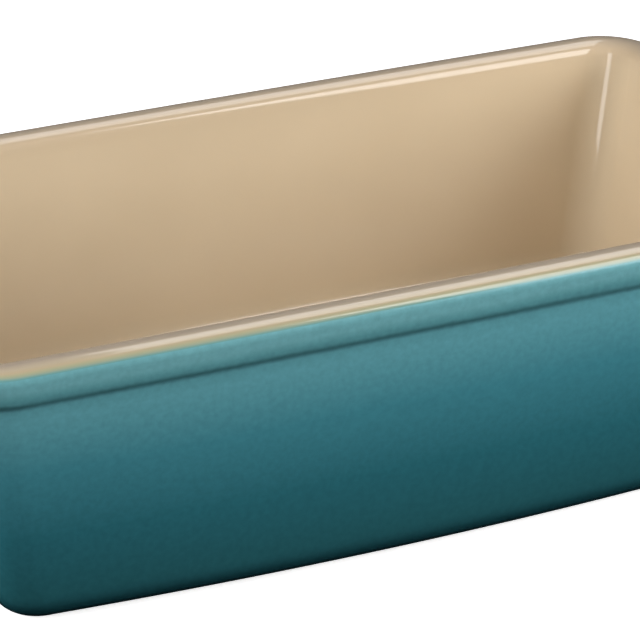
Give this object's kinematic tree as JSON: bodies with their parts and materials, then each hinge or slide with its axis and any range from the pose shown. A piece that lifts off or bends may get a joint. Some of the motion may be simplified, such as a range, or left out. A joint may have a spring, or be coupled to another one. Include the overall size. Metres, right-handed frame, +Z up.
{
  "type": "loaf pan",
  "caption": "Deep rectangular stoneware loaf pan with tapering walls, a raised rim band, a rounded lip, a teal glaze outside and a sand glaze inside.",
  "frame": {"origin": "on the resting plane, under the middle of the pan", "axes": "+X along the pan from end to end, +Y across it from side to side, +Z up out of the mouth"},
  "size_m": [0.251, 0.1396, 0.0749],
  "materials": {
    "stoneware": "matte",
    "teal_glaze": "satin gloss",
    "sand_glaze": "gloss",
    "underside_glaze": "satin gloss"
  },
  "bodies": {
    "root": {"stoneware_body": "stoneware", "exterior_glaze": "teal_glaze", "interior_glaze": "sand_glaze", "underside_glaze": "underside_glaze"}
  },
  "joints": []
}
